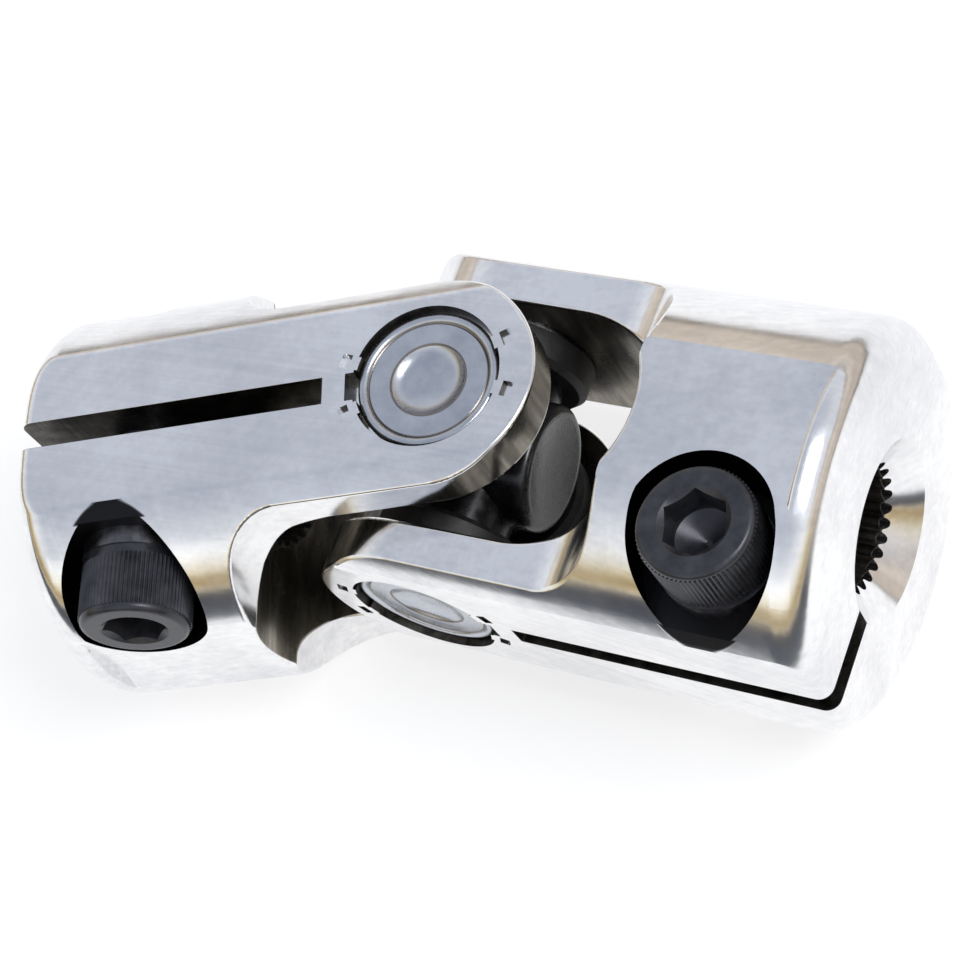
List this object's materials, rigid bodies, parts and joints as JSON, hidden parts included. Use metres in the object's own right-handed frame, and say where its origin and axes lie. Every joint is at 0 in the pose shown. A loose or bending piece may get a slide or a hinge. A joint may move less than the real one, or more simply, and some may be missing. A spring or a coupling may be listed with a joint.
{
  "type": "universal joint",
  "caption": "Steering-shaft universal joint: two splined clamp yokes at right angles, joined by a cross that turns in staked needle-bearing cups.",
  "frame": {"origin": "on the axis of the left yoke's splined bore, where the splines begin inside the lead-in cone", "axes": "+X from the left bore towards the joint centre, +Z along the left yoke's bearing axis on the side of its clamping slit, -Y towards the left clamp screw's head"},
  "size_m": [0.1274, 0.0735, 0.057],
  "materials": {
    "yoke_steel": "machined and polished bare steel",
    "cross_steel": "black phosphated forged steel with ground trunnions",
    "cup_steel": "satin zinc",
    "roller_steel": "ground and lapped",
    "pad_plastic": "natural nylon",
    "seal_rubber": "matt black",
    "black_oxide_steel": "oiled black oxide",
    "washer_steel": "dull plated spring steel"
  },
  "bodies": {
    "yoke_left": {"yoke_left": "yoke_steel", "clamp_screw_left": "black_oxide_steel", "lock_washer_left": "washer_steel", "bearing_cup_left_upper": "cup_steel", "needle_rollers_left_upper": "roller_steel", "thrust_pad_left_upper": "pad_plastic", "bearing_seal_left_upper": "seal_rubber", "bearing_cup_left_lower": "cup_steel", "needle_rollers_left_lower": "roller_steel", "thrust_pad_left_lower": "pad_plastic", "bearing_seal_left_lower": "seal_rubber"},
    "cross": {"bearing_cross": "cross_steel"},
    "yoke_right": {"yoke_right": "yoke_steel", "clamp_screw_right": "black_oxide_steel", "lock_washer_right": "washer_steel", "bearing_cup_right_front": "cup_steel", "needle_rollers_right_front": "roller_steel", "thrust_pad_right_front": "pad_plastic", "bearing_seal_right_front": "seal_rubber", "bearing_cup_right_rear": "cup_steel", "needle_rollers_right_rear": "roller_steel", "thrust_pad_right_rear": "pad_plastic", "bearing_seal_right_rear": "seal_rubber"}
  },
  "joints": [
    {"name": "left_bearing", "type": "hinge", "parent": "yoke_left", "child": "cross", "pos_m": [0.0574, 0, 0], "axis": [0, 0, 1], "range_deg": [-4.5, 45.5]},
    {"name": "right_bearing", "type": "hinge", "parent": "cross", "child": "yoke_right", "pos_m": [0.0574, 0, 0], "axis": [-0.3502, -0.9367, 0], "range_deg": [-28, 22]}
  ]
}
